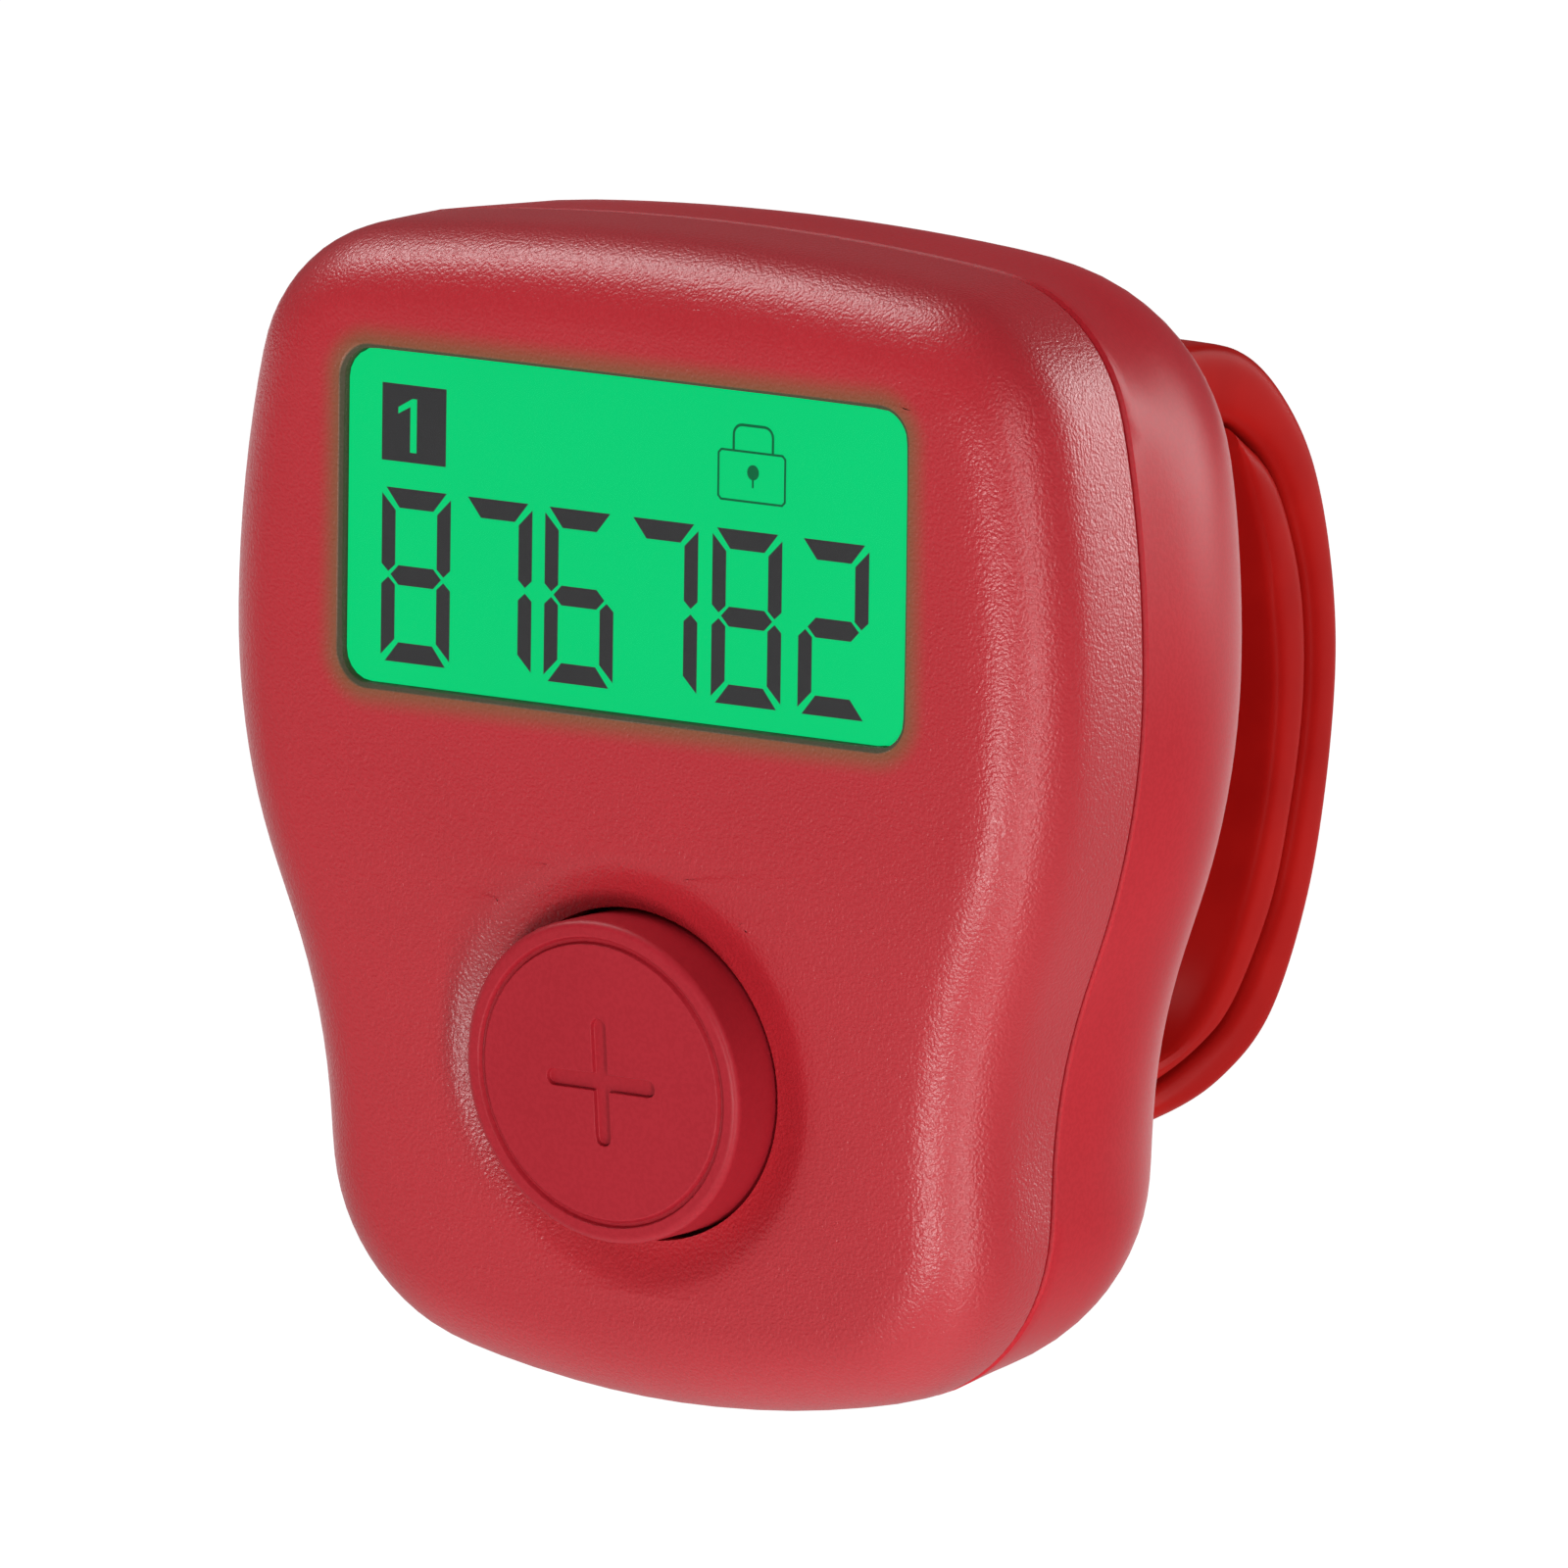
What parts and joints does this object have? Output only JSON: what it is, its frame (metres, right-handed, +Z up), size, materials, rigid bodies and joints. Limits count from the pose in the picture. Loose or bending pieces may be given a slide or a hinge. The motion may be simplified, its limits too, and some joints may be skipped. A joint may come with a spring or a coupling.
{
  "type": "digital tally counter",
  "caption": "Finger-worn digital tally counter with a rounded waisted case, a lit display, a round count button and a looped rubber strap.",
  "frame": {"origin": "middle of the flat back, on the battery door, which rests on the finger", "axes": "+X to the right of the display as read, +Y out of the back towards the finger and strap, +Z up the display"},
  "size_m": [0.0365, 0.0366, 0.042],
  "materials": {
    "front_plastic": "fine-grained moulded red",
    "rear_plastic": "satin moulded red",
    "button_plastic": "satin moulded red",
    "strap_rubber": "glossy silicone rubber",
    "lens_clear": "clear plastic lens",
    "display_glass": "lit green display",
    "frame_white": "white moulded",
    "guide_clear": "clear acrylic",
    "led_white": "white package",
    "connector_rubber": "striped elastomer",
    "board_green": "solder mask",
    "black_resin": "moulded epoxy",
    "tan_ceramic": "fired",
    "bright_steel": "nickel plated",
    "spring_brass": "plated spring strip",
    "white_plastic": "moulded"
  },
  "bodies": {
    "case": {"front_shell": "front_plastic", "rear_shell": "rear_plastic", "battery_door": "rear_plastic", "display_window": "lens_clear", "lcd_panel": "display_glass", "display_frame": "frame_white", "light_guide": "guide_clear", "backlight_led_left": "led_white", "backlight_led_right": "led_white", "zebra_connector": "connector_rubber", "circuit_board": "board_green", "controller_chip": "black_resin", "timing_crystal": "bright_steel", "filter_capacitor": "tan_ceramic", "resistor_1": "black_resin", "resistor_2": "black_resin", "count_switch": "black_resin", "mode_switch": "black_resin", "coin_cell": "bright_steel", "cell_contact_negative": "spring_brass", "cell_contact_positive": "spring_brass", "battery_door_screw": "bright_steel", "case_screw_left": "bright_steel", "case_screw_right": "bright_steel", "case_screw_lower": "bright_steel", "board_screw_left": "bright_steel", "board_screw_right": "bright_steel", "strap_pin_upper": "bright_steel", "strap_pin_lower": "bright_steel"},
    "count_key": {"count_button": "button_plastic"},
    "count_plunger": {"count_switch_plunger": "white_plastic"},
    "mode_key": {"mode_button": "button_plastic"},
    "mode_plunger": {"mode_switch_plunger": "white_plastic"},
    "outer_strap": {"strap_outer": "strap_rubber"},
    "inner_strap": {"strap_inner": "strap_rubber"}
  },
  "joints": [
    {"name": "count_press", "type": "slide", "parent": "case", "child": "count_key", "axis": [0, 1, 0], "range_m": [0, 0.0005], "stiffness_N_per_m": 1500},
    {"name": "count_switch_press", "type": "slide", "parent": "case", "child": "count_plunger", "axis": [0, 1, 0], "range_m": [0, 0.0005]},
    {"name": "mode_press", "type": "slide", "parent": "case", "child": "mode_key", "axis": [1, 0, 0], "range_m": [0, 0.0003], "stiffness_N_per_m": 1500},
    {"name": "mode_switch_press", "type": "slide", "parent": "case", "child": "mode_plunger", "axis": [1, 0, 0], "range_m": [0, 0.0003]},
    {"name": "outer_strap_swing", "type": "hinge", "parent": "case", "child": "outer_strap", "pos_m": [0, 0.0025, 0.0122], "axis": [1, 0, 0], "range_deg": [0, 50], "stiffness_Nm_per_rad": 0.1},
    {"name": "inner_strap_swing", "type": "hinge", "parent": "case", "child": "inner_strap", "pos_m": [0, 0.0025, -0.0121], "axis": [-1, 0, 0], "range_deg": [0, 12.5], "stiffness_Nm_per_rad": 0.1}
  ],
  "couplings": [
    {"joint": "count_switch_press", "follows": "count_press", "ratio": 1},
    {"joint": "mode_switch_press", "follows": "mode_press", "ratio": 1},
    {"joint": "inner_strap_swing", "follows": "outer_strap_swing", "ratio": 0.25}
  ]
}
